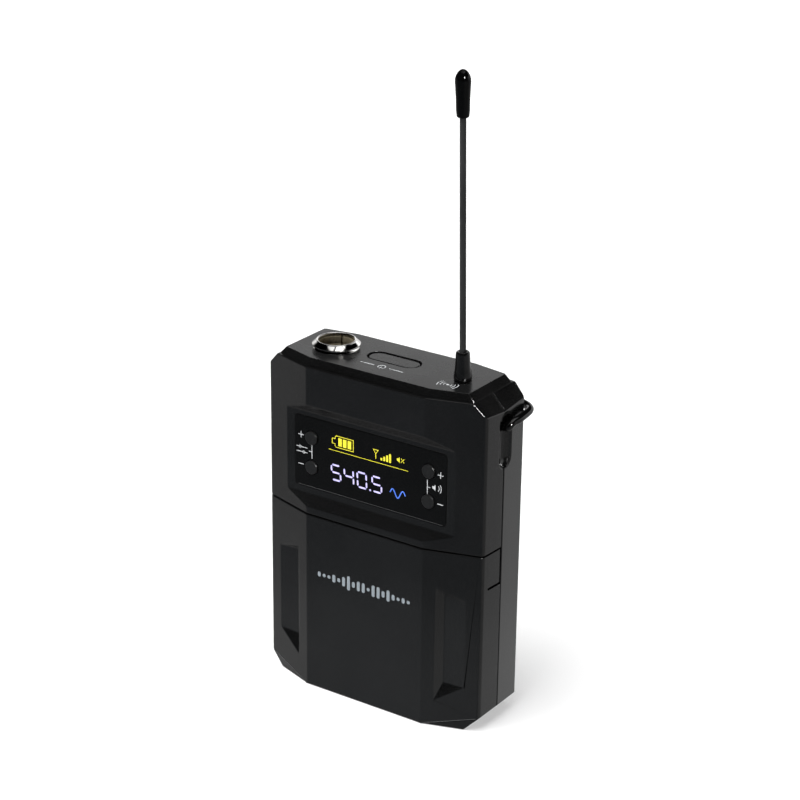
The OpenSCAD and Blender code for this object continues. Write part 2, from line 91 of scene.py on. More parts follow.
def make_camera():
    """The photograph's view: from the right, well above the object, through a long lens."""
    data = bpy.data.cameras.new("camera")
    data.lens = 103.63
    data.sensor_width = 36
    data.shift_x = 0.0078
    data.shift_y = -0.0019
    data.clip_end = 20
    camera = bpy.data.objects.new("camera", data)
    bpy.context.scene.collection.objects.link(camera)
    place = Vector((0.29532, -0.4329, 0.28879))
    right = Vector((0.8227, 0.5684, 0.0099)).normalized()
    forward = Vector((-0.5245, 0.7656, -0.3726)).normalized()
    up = right.cross(forward).normalized()
    turn = Matrix((right, up, -forward)).transposed().to_4x4()
    camera.matrix_world = Matrix.Translation(place) @ turn
    bpy.context.scene.camera = camera


# ---------------------------------------------------------------- materials

class Nodes:
    """A material's node tree with a few short ways to add to it."""

    def __init__(self, name):
        self.material = bpy.data.materials.new(name)
        self.material.use_nodes = True
        self.tree = self.material.node_tree
        self.shader = self.tree.nodes["Principled BSDF"]
        self.place = self.tree.nodes.new("ShaderNodeTexCoord").outputs["Object"]

    def link(self, source, target):
        self.tree.links.new(source, target)

    def noise(self, scale, detail):
        node = self.tree.nodes.new("ShaderNodeTexNoise")
        node.inputs["Scale"].default_value = scale
        node.inputs["Detail"].default_value = detail
        self.link(self.place, node.inputs["Vector"])
        return node.outputs["Fac"]

    def distance(self):
        """How far a point is from the piece's origin."""
        node = self.tree.nodes.new("ShaderNodeVectorMath")
        node.operation = "LENGTH"
        self.link(self.place, node.inputs[0])
        return node.outputs["Value"]

    def ramp(self, value, stops):
        """Maps a value to colours given as (position, colour)."""
        node = self.tree.nodes.new("ShaderNodeValToRGB")
        elements = node.color_ramp.elements
        while len(elements) < len(stops):
            elements.new(0.5)
        for element, (position, colour) in zip(elements, stops):
            element.position = position
            element.color = (*colour, 1)
        self.link(value, node.inputs["Fac"])
        return node.outputs["Color"]

    def spread(self, value, low, high, start=0.3, end=0.7):
        """Stretches a value's part from start to end to the range low to high."""
        node = self.tree.nodes.new("ShaderNodeMapRange")
        node.inputs["From Min"].default_value = start
        node.inputs["From Max"].default_value = end
        node.inputs["To Min"].default_value = low
        node.inputs["To Max"].default_value = high
        self.link(value, node.inputs["Value"])
        return node.outputs["Result"]

    def bump(self, height, strength, distance):
        """Relief, in metres."""
        node = self.tree.nodes.new("ShaderNodeBump")
        node.inputs["Strength"].default_value = strength
        node.inputs["Distance"].default_value = distance
        self.link(height, node.inputs["Height"])
        self.link(node.outputs["Normal"], self.shader.inputs["Normal"])

    def paint_shade_and_polish_slopes(self, shade, gloss):
        """Paints shade on what doesn't face straight up by darkening its colour, and polishes it, by
        these factors.
        """
        parts = self.tree.nodes.new("ShaderNodeSeparateXYZ")
        self.link(self.tree.nodes["Texture Coordinate"].outputs["Normal"], parts.inputs["Vector"])
        upward = parts.outputs["Z"]
        for name, factor in (("Base Color", shade), ("Roughness", gloss)):
            source = self.shader.inputs[name].links[0].from_socket
            scaled = self.tree.nodes.new("ShaderNodeVectorMath")
            scaled.operation = "SCALE"
            self.link(source, scaled.inputs[0])
            self.link(self.spread(upward, factor, 1, 0.85, 0.95), scaled.inputs["Scale"])
            self.link(scaled.outputs["Vector"], self.shader.inputs[name])

    def fixed(self, **values):
        """Sets numbers that hold all over the surface on the shader's own sockets."""
        for name, value in values.items():
            self.shader.inputs[name.replace("_", " ")].default_value = value


def plastic(name, dark, light, rough, grain, relief, specular=0.5, slopes=None):
    """Moulded plastic: a fine eroded texture, and cloudy changes of shade and gloss."""
    n = Nodes(name)
    n.link(n.ramp(n.noise(70, 4), [(0.35, dark), (0.65, light)]), n.shader.inputs["Base Color"])
    n.link(n.spread(n.noise(110, 2), rough[0], rough[1]), n.shader.inputs["Roughness"])
    n.bump(n.noise(grain, 2), relief, 0.00002)
    # Painted shade on the slopes: their colour is darker than what faces up, and their gloss is higher
    if slopes:
        n.paint_shade_and_polish_slopes(*slopes)
    n.fixed(Specular_IOR_Level=specular)
    return n.material


def metal(name, dark, light, rough, scale, metallic=1.0):
    """Plated metal with cloudy changes of shade, and finer ones of gloss and relief."""
    n = Nodes(name)
    n.link(n.ramp(n.noise(scale, 4), [(0.35, dark), (0.65, light)]), n.shader.inputs["Base Color"])
    n.link(n.spread(n.noise(scale * 6, 3), rough[0], rough[1]), n.shader.inputs["Roughness"])
    n.bump(n.noise(scale * 12, 2), 0.05, 0.00001)
    n.fixed(Metallic=metallic)
    return n.material


def lit(name, dark, light, strength):
    """A lit mark of the display, a little uneven like the cells of a panel."""
    n = Nodes(name)
    glow = n.ramp(n.noise(1500, 1), [(0.3, dark), (0.7, light)])
    n.link(glow, n.shader.inputs["Base Color"])
    n.link(glow, n.shader.inputs["Emission Color"])
    n.fixed(Emission_Strength=strength, Roughness=0.35)
    return n.material


def printed(name, dark, light):
    """Pad-printed ink, a film of uneven thickness."""
    n = Nodes(name)
    n.link(n.ramp(n.noise(2600, 3), [(0.3, dark), (0.7, light)]), n.shader.inputs["Base Color"])
    n.link(n.spread(n.noise(900, 2), 0.42, 0.6), n.shader.inputs["Roughness"])
    n.bump(n.noise(9000, 2), 0.15, 0.00001)
    return n.material


def grey(level):
    """A grey that is a little cool."""
    return (level, level * 1.02, level * 1.04)


def even(level):
    return (level, level, level)


CASE = plastic("case_plastic", grey(0.0022), grey(0.0032), (0.15, 0.2), 9000, 0.1)
# The plate's slopes carry painted shade, with colour darker than its top, and they are glossier
PLATE = plastic("plate_plastic", grey(0.0042), grey(0.0056), (0.24, 0.3), 9000, 0.14, slopes=(0.5, 0.6))
WINDOW = plastic("window_plastic", grey(0.0015), grey(0.002), (0.06, 0.1), 900, 0.02, 0.2)
KEY = plastic("key_rubber", grey(0.0045), grey(0.006), (0.3, 0.38), 7000, 0.1)
INNER = plastic("inner_plastic", grey(0.02), grey(0.03), (0.45, 0.55), 4200, 0.25)
# Painted highlight: a pale grey for thin lines that stand in for the light caught along the window's
# foot and the corner creases
PAINTED_HIGHLIGHT = plastic("window_edge", grey(0.03), grey(0.04), (0.3, 0.4), 3000, 0.05)
JACKET = plastic("antenna_jacket", grey(0.0015), grey(0.0022), (0.16, 0.22), 3000, 0.05)
ROD = plastic("antenna_rod", grey(0.016), grey(0.022), (0.35, 0.45), 3000, 0.08, 0.25)
TIP = plastic("antenna_tip", grey(0.0008), grey(0.0012), (0.07, 0.11), 1500, 0.03, 0.15)
BOARD = plastic("solder_mask", (0.01, 0.07, 0.03), (0.015, 0.1, 0.04), (0.25, 0.35), 1800, 0.1)
SLEEVE = plastic("cell_sleeve", (0.012, 0.012, 0.013), (0.018, 0.018, 0.02), (0.2, 0.3), 900, 0.05)
COPPER = plastic("cell_band", (0.38, 0.17, 0.05), (0.46, 0.21, 0.065), (0.18, 0.28), 900, 0.05)
LABEL = plastic("label_film", grey(0.03), grey(0.036), (0.4, 0.5), 700, 0.05)
WIRE = plastic("wire_coating", grey(0.0015), grey(0.002), (0.08, 0.12), 1500, 0.03)
CHROME = metal("chrome", (0.84, 0.83, 0.8), (0.9, 0.89, 0.87), (0.05, 0.1), 160)
WARM = metal("warm_nickel", (0.19, 0.163, 0.11), (0.27, 0.235, 0.16), (0.24, 0.34), 700, 0.7)
STEEL = metal("plated_steel", (0.5, 0.5, 0.5), (0.62, 0.62, 0.61), (0.25, 0.4), 300)
BLACKENED = metal("blackened_brass", (0.012, 0.011, 0.009), (0.02, 0.018, 0.014), (0.3, 0.4), 300)
GOLD = metal("gold_flash", (0.72, 0.5, 0.2), (0.82, 0.6, 0.27), (0.2, 0.3), 300)
WHITE_INK = printed("white_ink", (0.36, 0.37, 0.38), (0.44, 0.45, 0.46))
PALE_INK = printed("pale_ink", (0.15, 0.172, 0.19), (0.19, 0.215, 0.235))
YELLOW = lit("yellow_glow", (0.42, 0.38, 0.012), (0.55, 0.5, 0.02), 0.55)
WHITE = lit("white_glow", (0.31, 0.29, 0.52), (0.4, 0.37, 0.64), 0.52)
BLUE = lit("blue_glow", (0.03, 0.09, 0.4), (0.05, 0.13, 0.52), 0.6)


# ---------------------------------------------------------------- making pieces

def finish_piece(name, form, material, body=None, smooth=True):
    """Turns a bmesh into a shaded piece, which rides on a CAD body if one is given."""
    mesh = bpy.data.meshes.new(name)
    form.normal_update()
    form.to_mesh(mesh)
    form.free()
    mesh.materials.append(material)
    if smooth:
        mesh.shade_smooth()
    piece = bpy.data.objects.new(name, mesh)
    bpy.context.scene.collection.objects.link(piece)
    if body:
        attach(piece, body)
    return piece


def round_edges(piece, width, segments=3, weighted=False):
    """Rounds the sharp edges, or only the marked ones, and keeps the flats flat to the light."""
    bevel = piece.modifiers.new("rounding", "BEVEL")
    bevel.width = width * MM
    bevel.segments = segments
    bevel.limit_method = "WEIGHT" if weighted else "ANGLE"
    bevel.angle_limit = SHARP
    bevel.use_clamp_overlap = False
    bevel.miter_outer = "MITER_ARC"
    shade = piece.modifiers.new("shading", "WEIGHTED_NORMAL")
    shade.weight = 80
    shade.keep_sharp = True


def cad_form(node):
    """A CAD part's shape with its triangles joined into the faces they came from."""
    source = nodes[node].data
    form = bmesh.new()
    corners = [form.verts.new(v.co) for v in source.vertices]
    for polygon in source.polygons:
        form.faces.new([corners[i] for i in polygon.vertices])
    bmesh.ops.remove_doubles(form, verts=form.verts, dist=2e-6)
    bmesh.ops.dissolve_limit(form, angle_limit=math.radians(0.5), verts=form.verts, edges=form.edges)
    return form


def moulded(node, material, width=0.2, segments=3, crisp=lambda point: False):
    """A CAD part with rounded edges and a finish, which stands for the plain one.

    Sharp edges are rounded, and gentle ones where two broad flats meet, but not the steps of a
    curve. crisp says of a point whether the edges there stay as they are."""
    body = nodes[node]["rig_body"]
    form = cad_form(node)
    breadth = {face: face.calc_area() / max(edge.calc_length() for edge in face.edges)
               for face in form.faces}
    weights = form.edges.layers.float.new("bevel_weight_edge")
    for edge in form.edges:
        broad = min(breadth[face] for face in edge.link_faces) > BROAD
        bends = edge.calc_face_angle(0) > (GENTLE if broad else SHARP)
        edge[weights] = float(bends and not all(crisp(end.co) for end in edge.verts))
    piece = finish_piece(node + "_moulding", form, material, body)
    round_edges(piece, width, segments, weighted=True)
    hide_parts(node)
    return piece


def dress(node, material):
    """Gives a CAD part that stays as it is its finish."""
    nodes[node].data.materials.clear()
    nodes[node].data.materials.append(material)


def arc(centre, radius, start, end, steps=12):
    """Points along an arc, with its angles in degrees."""
    angles = [math.radians(start + (end - start) * i / steps) for i in range(steps + 1)]
    return [(centre[0] + radius * math.cos(a), centre[1] + radius * math.sin(a)) for a in angles]


def rounded_box(middle, width, height, radius):
    """Outline of a rectangle with round corners."""
    outline = []
    for quarter, (side, end) in enumerate(((1, 1), (-1, 1), (-1, -1), (1, -1))):
        centre = (middle[0] + side * (width / 2 - radius), middle[1] + end * (height / 2 - radius))
        outline += arc(centre, radius, 90 * quarter, 90 * quarter + 90, 6)
    return outline


def beside(points, distance, closed):
    """The points of a line moved sideways, with mitred corners."""
    line = [Vector(point) for point in points]
    moved = []
    for i, here in enumerate(line):
        ways = []
        if closed or i > 0:
            ways.append((here - line[i - 1]).normalized())
        if closed or i < len(line) - 1:
            ways.append((line[(i + 1) % len(line)] - here).normalized())
        sides = [Vector((-way.y, way.x)) for way in ways]
        middle = (sides[0] + sides[-1]).normalized()
        moved.append(here + middle * distance / middle.dot(sides[0]))
    return moved


class Drawing:
    """Thin flat shapes, drawn in millimetres and raised a little off a face."""

    def __init__(self, place, rise=0.04):
        """place turns (across, along, height off the face) into a point."""
        self.form = bmesh.new()
        self.place = place
        self.levels = (-0.02, rise)

    def ring(self, outline, level):
        return [self.form.verts.new(self.place(u, v, level)) for u, v in outline]

    def shape(self, outline):
        """A filled shape."""
        low, high = (self.ring(outline, level) for level in self.levels)
        self.form.faces.new(low)
        self.form.faces.new(high)
        for i in range(len(outline)):
            self.form.faces.new((low[i - 1], low[i], high[i], high[i - 1]))

    def block(self, low, high):
        self.shape([low, (high[0], low[1]), high, (low[0], high[1])])

    def stroke(self, points, width, closed=False):
        """A line of even width."""
        left, right = (beside(points, side * width / 2, closed) for side in (1, -1))
        below, above = self.levels
        strips = [self.ring(left, below), self.ring(left, above),
                  self.ring(right, above), self.ring(right, below)]
        for i in range(0 if closed else 1, len(points)):
            for a, b in zip(strips, strips[1:] + strips[:1]):
                self.form.faces.new((a[i - 1], a[i], b[i], b[i - 1]))
        if not closed:
            self.form.faces.new([strip[0] for strip in strips])
            self.form.faces.new([strip[-1] for strip in strips])

    def plus(self, middle, reach, width):
        x, y = middle
        w = width / 2
        corners = [(w, w), (w, reach), (-w, reach), (-w, w), (-reach, w), (-reach, -w),
                   (-w, -w), (-w, -reach), (w, -reach), (w, -w), (reach, -w), (reach, w)]
        self.shape([(x + u, y + v) for u, v in corners])

    def minus(self, middle, reach, width):
        x, y = middle
        self.block((x - reach, y - width / 2), (x + reach, y + width / 2))

    def speaker(self, x, y, size):
        """A loudspeaker facing right: its small end is at x, and it is twice size high."""
        half = 0.4 * size
        throat = x + 0.45 * size
        mouth = x + 1.1 * size
        self.shape([(x, y - half), (throat, y - half), (mouth, y - size),
                    (mouth, y + size), (throat, y + half), (x, y + half)])

    def finish(self, name, material, body="root"):
        bmesh.ops.recalc_face_normals(self.form, faces=self.form.faces)
        return finish_piece(name, self.form, material, body, smooth=False)


def turned(name, profile, middle, material, start=0, end=360, steps=96):
    """A closed profile of (radius, height) turned about an upright axis through middle."""
    form = bmesh.new()
    whole = end - start == 360
    rings = []
    for i in range(steps if whole else steps + 1):
        angle = math.radians(start + (end - start) * i / steps)
        across, back = math.cos(angle), math.sin(angle)
        rings.append([form.verts.new(at(middle[0] + r * across, middle[1] + r * back, z))
                      for r, z in profile])
    for i in range(0 if whole else 1, len(rings)):
        for k in range(len(profile)):
            form.faces.new((rings[i - 1][k - 1], rings[i][k - 1], rings[i][k], rings[i - 1][k]))
    if not whole:
        form.faces.new(rings[0])
        form.faces.new(rings[-1])
    bmesh.ops.recalc_face_normals(form, faces=form.faces)
    piece = finish_piece(name, form, material, "root")
    round_edges(piece, 0.06, 2)
    return piece


def smooth_route(points, steps):
    """A curve through the points with an even bend between them."""
    ends = [points[0] * 2 - points[1], *points, points[-1] * 2 - points[-2]]
    route = []
    for a, b, c, d in zip(ends, ends[1:], ends[2:], ends[3:]):
        for i in range(steps):
            t = i / steps
            route.append(b + 0.5 * ((c - a) * t + (2 * a - 5 * b + 4 * c - d) * t * t
                                    + (3 * b - a - 3 * c + d) * t * t * t))
    return route + [points[-1]]


def wire(name, route, radius, material, body, sides=20):
    """A round wire along a route of points, with its ends rounded off."""
    form = bmesh.new()
    dome = [(0.35, 0), (0.7, 0.08), (0.93, 0.3), (1, 0.6)]
    first = (route[1] - route[0]).normalized()
    last = (route[-1] - route[-2]).normalized()
    stations = [(route[0] + first * radius * far, size) for size, far in dome]
    stations += [(point, 1) for point in route[1:-1]]
    stations += [(route[-1] - last * radius * far, size) for size, far in reversed(dome)]
    spine = [point for point, size in stations]
    ways = [(spine[min(i + 1, len(spine) - 1)] - spine[max(i - 1, 0)]).normalized()
            for i in range(len(spine))]
    side = ways[0].orthogonal().normalized()
    rings = []
    for (point, size), way in zip(stations, ways):
        side = (side - way * side.dot(way)).normalized()
        other = way.cross(side)
        rings.append([form.verts.new(point + radius * size * (side * math.cos(a) + other * math.sin(a)))
                      for a in (2 * math.pi * k / sides for k in range(sides))])
    for low, high in zip(rings, rings[1:]):
        for k in range(sides):
            form.faces.new((low[k - 1], low[k], high[k], high[k - 1]))
    form.faces.new(rings[0][::-1])
    form.faces.new(rings[-1])
    bmesh.ops.recalc_face_normals(form, faces=form.faces)
    return finish_piece(name, form, material, body)


# ---------------------------------------------------------------- light, floor and surroundings

def area_light(name, place, target, size, power, glint=False):
    """A soft light that the gloss doesn't show, or with glint one that only the gloss shows."""
    data = bpy.data.lights.new(name, "AREA")
    data.shape = "RECTANGLE"
    data.size, data.size_y = size
    data.energy = power
    light = bpy.data.objects.new(name, data)
    light.location = place
    light.rotation_euler = (Vector(target) - Vector(place)).to_track_quat("-Z", "Y").to_euler()
    light.visible_glossy = glint
    light.visible_diffuse = not glint
    light.visible_camera = False
    bpy.context.scene.collection.objects.link(light)
    return light


def staged(name, form, material, height):
    """Turns a bmesh into a piece of the studio, which isn't part of the object."""
    mesh = bpy.data.meshes.new(name)
    form.to_mesh(mesh)
    form.free()
    mesh.materials.append(material)
    piece = bpy.data.objects.new(name, mesh)
    piece.location.z = height
    bpy.context.scene.collection.objects.link(piece)
    return piece


def make_floor():
    """Plain paper, lit from beneath too as a light table is, which keeps the shadow pale."""
    n = Nodes("floor_paper")
    n.link(n.ramp(n.noise(3, 2), [(0.3, even(0.46)), (0.7, even(0.48))]), n.shader.inputs["Base Color"])
    n.link(n.spread(n.distance(), 0.47, 1, 0.35, 0.9), n.shader.inputs["Emission Strength"])
    n.fixed(Roughness=0.9, Specular_IOR_Level=0.1)
    form = bmesh.new()
    bmesh.ops.create_grid(form, x_segments=1, y_segments=1, size=4)
    floor = staged("floor", form, n.material, -0.0002)
    floor.visible_glossy = False


def make_backdrop():
    """A white wall all round, which only the camera sees."""
    n = Nodes("backdrop_paper")
    n.link(n.ramp(n.noise(1, 1), [(0.3, even(0.98)), (0.7, even(1))]), n.shader.inputs["Emission Color"])
    n.fixed(Base_Color=(0, 0, 0, 1), Roughness=1, Specular_IOR_Level=0, Emission_Strength=1.05)
    form = bmesh.new()
    bmesh.ops.create_cone(form, segments=96, radius1=3.9, radius2=3.9, depth=4, cap_ends=False)
    wall = staged("backdrop", form, n.material, 1.9)
    wall.visible_diffuse = False
    wall.visible_glossy = False
    wall.visible_transmission = False
    wall.visible_shadow = False


def make_floor_glow():
    """The light that the floor throws back from close round the object, seen only in its gloss."""
    n = Nodes("floor_glow")
    levels = [(0, 0.2), (0.1, 0.17), (0.27, 0.06), (0.53, 0.02), (1, 0)]
    stops = [(place, even(level)) for place, level in levels]
    glow = n.tree.nodes.new("ShaderNodeEmission")
    n.link(n.ramp(n.spread(n.distance(), 0, 1, 0.05, 0.2), stops), glow.inputs["Color"])
    clear = n.tree.nodes.new("ShaderNodeBsdfTransparent")
    both = n.tree.nodes.new("ShaderNodeAddShader")
    n.link(glow.outputs["Emission"], both.inputs[0])
    n.link(clear.outputs["BSDF"], both.inputs[1])
    n.link(both.outputs["Shader"], n.tree.nodes["Material Output"].inputs["Surface"])
    form = bmesh.new()
    bmesh.ops.create_grid(form, x_segments=1, y_segments=1, size=0.25)
    card = staged("floor_glow", form, n.material, -0.0001)
    card.visible_camera = False
    card.visible_diffuse = False
    card.visible_shadow = False


def make_surroundings():
    """What the gloss mirrors: a pale floor, a white wall low down behind, and soft boxes above."""
    world = bpy.data.worlds.new("studio")
    world.use_nodes = True
    tree = world.node_tree
    direction = tree.nodes.new("ShaderNodeTexCoord").outputs["Generated"]
    parts = tree.nodes.new("ShaderNodeSeparateXYZ")
    tree.links.new(direction, parts.inputs["Vector"])

    def by_part(part, stops):
        """A colour that changes with one part of the direction, from -1 to 1."""
        spread = tree.nodes.new("ShaderNodeMapRange")
        spread.inputs["From Min"].default_value = -1
        ramp = tree.nodes.new("ShaderNodeValToRGB")
        ramp.color_ramp.interpolation = "EASE"
        elements = ramp.color_ramp.elements
        while len(elements) < len(stops):
            elements.new(0.5)
        for element, (place, colour) in zip(elements, stops):
            element.position = (place + 1) / 2
            element.color = (*colour, 1)
        tree.links.new(parts.outputs[part], spread.inputs["Value"])
        tree.links.new(spread.outputs["Result"], ramp.inputs["Fac"])
        return ramp.outputs["Color"]

    def joined(operation, first, second):
        node = tree.nodes.new("ShaderNodeVectorMath")
        node.operation = operation
        tree.links.new(first, node.inputs[0])
        tree.links.new(second, node.inputs[1])
        return node.outputs["Vector"]

    def levels(*stops):
        return [(place, even(level)) for place, level in stops]

    floor = joined("MULTIPLY",
                   by_part("Z", levels((-0.7, 0.5), (-0.45, 0.95), (-0.1, 1), (0.06, 0))),
                   by_part("Y", [(-0.95, (0.15, 0.165, 0.18)), (-0.75, (0.165, 0.182, 0.2))]
                           + levels((-0.35, 0.38), (0.6, 0.37), (0.85, 0.7))))
    wall = joined("MULTIPLY",
                  by_part("Z", levels((-0.1, 0), (0.05, 0.8), (0.3, 1.35), (0.43, 0))),
                  by_part("Y", levels((0.1, 0), (0.5, 1))))
    boxes = joined("MULTIPLY",
                   by_part("Z", levels((0.86, 0), (0.9, 1.4))),
                   by_part("X", levels((-0.35, 0.6), (0.07, 0.8), (0.11, 0.08), (0.16, 0.08),
                                       (0.2, 1.6), (0.5, 1.6))))
    background = tree.nodes["Background"]
    tree.links.new(joined("ADD", joined("ADD", floor, wall), boxes), background.inputs["Color"])
    bpy.context.scene.world = world


def make_lights():
    """A large soft light overhead, a weak one from the left, and a strip that glints on the case."""
    middle = (0, 0, 0.06)
    area_light("overhead", (-0.42, -0.84, 1.3), middle, (1.9, 1.9), 77)
    area_light("left", (-1.3, -0.5, 0.6), middle, (0.8, 0.8), 3)
    strip = area_light("strip", (0.893, -0.528, 0.665), middle, (0.12, 0.3), 24, True)
    glinting = bpy.data.collections.new("glinting")
    outer = ("_shell_moulding", "_door_moulding", "_plate_moulding", "_key_moulding")
    for piece in bpy.data.objects:
        if piece.name.endswith(outer):
            glinting.objects.link(piece)
    for name in ("clip_wire", "antenna_tip_moulding"):
        glinting.objects.link(bpy.data.objects[name])
    strip.light_linking.receiver_collection = glinting


# ---------------------------------------------------------------- pieces

def on_window(across, height, rise):
    return at(across, WINDOW_FACE - rise, height)


def on_front(across, height, rise):
    return at(across, -rise, height)


def on_plate(across, depth, rise):
    return at(across, depth, PLATE_TOP + rise)


def on_hinge(point):
    """Whether a point of the door is on its hinge barrels, which are round already."""
    return point.y > -5.5 * MM and point.z < 6.5 * MM


def make_case():
    for shell in ("front_shell", "rear_shell"):
        moulded(shell, CASE, 0.25)
    moulded("battery_door", CASE, crisp=on_hinge)
    for tab in ("latch_tab_left", "latch_tab_right"):
        moulded(tab, CASE, 0.08)
    moulded("top_plate", PLATE, 0.1)
    moulded("display_window", WINDOW, 0.08)
    for key in ("set_plus_key", "set_minus_key", "volume_plus_key", "volume_minus_key"):
        moulded(key, KEY)
    moulded("power_key", PLATE, 0.3)


def make_latch_webs():
    """The thin web where each latch tab bends out of the door's side wall."""
    low, high = 38.99, 47.75
    # The side wall starts behind the front facet, and leans outwards on its way back
    wall_across, wall_depth = 32.012, 4.4
    lean = 1 / 15
    thickness = 0.5
    for side, body in ((-1, "left_tab"), (1, "right_tab")):
        form = bmesh.new()
        rings = []
        for depth in (6.25, 6.6, 6.75, 6.9, 7.05, 7.2):
            outer = wall_across + (depth - wall_depth) * lean
            inner = outer - thickness
            rings.append([form.verts.new(at(side * across, depth, height)) for across, height in
                          ((outer, low), (outer, high), (inner, high), (inner, low))])
        for front, back in zip(rings, rings[1:]):
            for k in range(4):
                form.faces.new((front[k - 1], front[k], back[k], back[k - 1]))
        form.faces.new(rings[0])
        form.faces.new(rings[-1])
        bmesh.ops.recalc_face_normals(form, faces=form.faces)
        piece = finish_piece("latch_web_" + body[:-4], form, CASE, smooth=False)
        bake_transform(piece)


def make_crease_highlights():
    """A painted highlight: a fine raised pale line along the edge of the facet that thins each lower
    corner of the front.

    It runs outwards from near the flat's edge, falls back with the front facet and climbs."""
    flat_edge = 17.5
    fall = 0.3034
    climb = 0.2655
    foot = -4.53
    for side, name in ((-1, "left"), (1, "right")):
        ends = [at(side * x, fall * (x - flat_edge), climb * x + foot) for x in (17.9, 31.3)]
        wire("crease_edge_" + name, smooth_route(ends, 3), 0.1 * MM, PAINTED_HIGHLIGHT, "door", 8)


def make_window_highlight():
    """A painted highlight: a pale fine line along the window's foot, standing in for the light its lower
    edge catches.
    """
    low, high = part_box("display_window")
    foot = low.z / MM + 0.07
    reach = high.x / MM - 0.9
    ends = [at(-reach, WINDOW_FACE, foot), at(reach, WINDOW_FACE, foot)]
    wire("window_edge", smooth_route(ends, 2), 0.06 * MM, PAINTED_HIGHLIGHT, "root", 8)


def make_door_mark():
    """A row of sound-wave bars, which swells in the middle."""
    bars = 19
    pitch = 1.5
    width = 0.9
    span = 34
    height = 32.4
    drawing = Drawing(on_front)
    for i in range(bars):
        x = (i - (bars - 1) / 2) * pitch
        swell = math.cos(math.pi * x / span)
        half = swell * (1.25 + 0.65 * math.cos(2.2 * i) + 0.35 * math.cos(0.9 * i + 1))
        drawing.shape(rounded_box((x, height), width, 2 * max(half, width / 2), 0.4))
    drawing.finish("sound_wave_mark", PALE_INK, "door")


SEGMENTS = {"0": "abcdef", "4": "fgbc", "5": "afgcd"}


def draw_digit(drawing, value, left, low):
    """A seven-segment digit that leans a little to the left."""
    width = 3.1
    height = 4.4
    half = 0.45 / 2
    gap = 0.2
    lean = 0.06

    def bar(start, end):
        """A segment from one corner of the digit to the next, with pointed ends."""
        start, end = Vector(start), Vector(end)
        way = (end - start).normalized()
        side = Vector((-way.y, way.x)) * half
        first = start + way * gap
        last = end - way * gap
        outline = [first, first + way * half - side, last - way * half - side,
                   last, last - way * half + side, first + way * half + side]
        drawing.shape([(left + p.x - lean * p.y, low + p.y) for p in outline])

    x0, x1 = half, width - half
    z0, z1, z2 = half, height / 2, height - half
    places = {"a": ((x0, z2), (x1, z2)), "g": ((x0, z1), (x1, z1)), "d": ((x0, z0), (x1, z0)),
              "f": ((x0, z1), (x0, z2)), "b": ((x1, z1), (x1, z2)),
              "e": ((x0, z0), (x0, z1)), "c": ((x1, z0), (x1, z1))}
    for segment in SEGMENTS[value]:
        bar(*places[segment])


def draw_battery(drawing, left, low):
    """A full battery with its nub to the left, and three bars of charge."""
    right = left + 5.5
    high = low + 3
    nub = 0.85
    cut = 0.35
    drawing.stroke([(left, high - nub), (left - nub, high - nub), (left - nub, low + nub),
                    (left, low + nub), (left, low + cut), (left + cut, low), (right, low),
                    (right, high), (left + cut, high), (left, high - cut)], 0.16, True)
    for i in range(3):
        x = left + 1 + 1.4 * i
        drawing.block((x, low + 0.45), (x + 1.05, high - 0.45))


def draw_signal(drawing, x, low):
    """A mast under an open triangle, and four bars that grow to its right."""
    head = low + 1.3
    drawing.stroke([(x, low), (x, head)], 0.18)
    drawing.stroke([(x - 0.7, head + 1.05), (x, head), (x + 0.7, head + 1.05)], 0.16, True)
    for i in range(4):
        left = x + 1.4 + 0.85 * i
        drawing.block((left, low), (left + 0.55, low + 0.6 + 0.55 * i))


def draw_mute(drawing, left, middle):
    """A loudspeaker and a cross, of one stroke and two short ones that stop beside it."""
    drawing.speaker(left, middle, 0.75)
    near, far = left + 1.25, left + 2.15
    low, high = middle - 0.5, middle + 0.5
    drawing.stroke([(near, low), (far, high)], 0.16)
    drawing.stroke([(near, high), (near + 0.3, high - 0.33)], 0.16)
    drawing.stroke([(far - 0.3, low + 0.33), (far, low)], 0.16)


def make_display():
    """What the display shows: charge, signal, mute, and a number with a wave for its unit."""
    yellow = Drawing(on_window)
    draw_battery(yellow, -10.3, 67.1)
    draw_signal(yellow, 1.9, 67)
    draw_mute(yellow, 8.1, 68.4)
    yellow.block((-12.2, 66.05), (11.4, 66.17))
    marks = [yellow.finish("display_status", YELLOW)]

    white = Drawing(on_window)
    for value, left in zip("5405", (-11.4, -7.5, -3.6, 0.85)):
        draw_digit(white, value, left, 58)
    white.block((0.1, 58), (0.55, 58.45))
    marks.append(white.finish("display_digits", WHITE))

    blue = Drawing(on_window)
    turns = 1.5
    steps = 36
    blue.stroke([(6.2 + 4.5 * i / steps, 59.3 + 1.05 * math.sin(2 * math.pi * turns * i / steps))
                 for i in range(steps + 1)], 0.3)
    marks.append(blue.finish("display_wave", BLUE))
    for mark in marks:
        mark.visible_glossy = False


def make_key_labels():
    """Plus and minus beside the keys, with a bracket and an icon between each pair."""
    ink = Drawing(on_window)
    reach = 0.82
    line = 0.18
    for x, high, low in ((-20.7, 67.9, 60), (20.8, 67.4, 59.8)):
        ink.plus((x, high), reach, line)
        ink.minus((x, low), reach, line)
    ink.block((-17.44, 62.1), (-17.26, 65.85))
    ink.block((-18.3, 63.87), (-17.44, 64.03))
    ink.block((16.96, 61.7), (17.14, 65.4))
    ink.block((17.14, 63.42), (17.84, 63.58))
    for z, knob in ((64.6, -21), (63.3, -19.9)):
        ink.block((-22.1, z - 0.08), (knob - 0.35, z + 0.08))
        ink.stroke(arc((knob, z), 0.3, 0, 345, 23), 0.14, True)
        ink.block((knob + 0.35, z - 0.08), (-18.75, z + 0.08))
    ink.speaker(18.5, 63.8, 0.8)
    for radius in (1.15, 1.75):
        ink.stroke(arc((19.3, 63.8), radius, -38, 38), 0.16)
    ink.finish("key_labels", WHITE_INK)


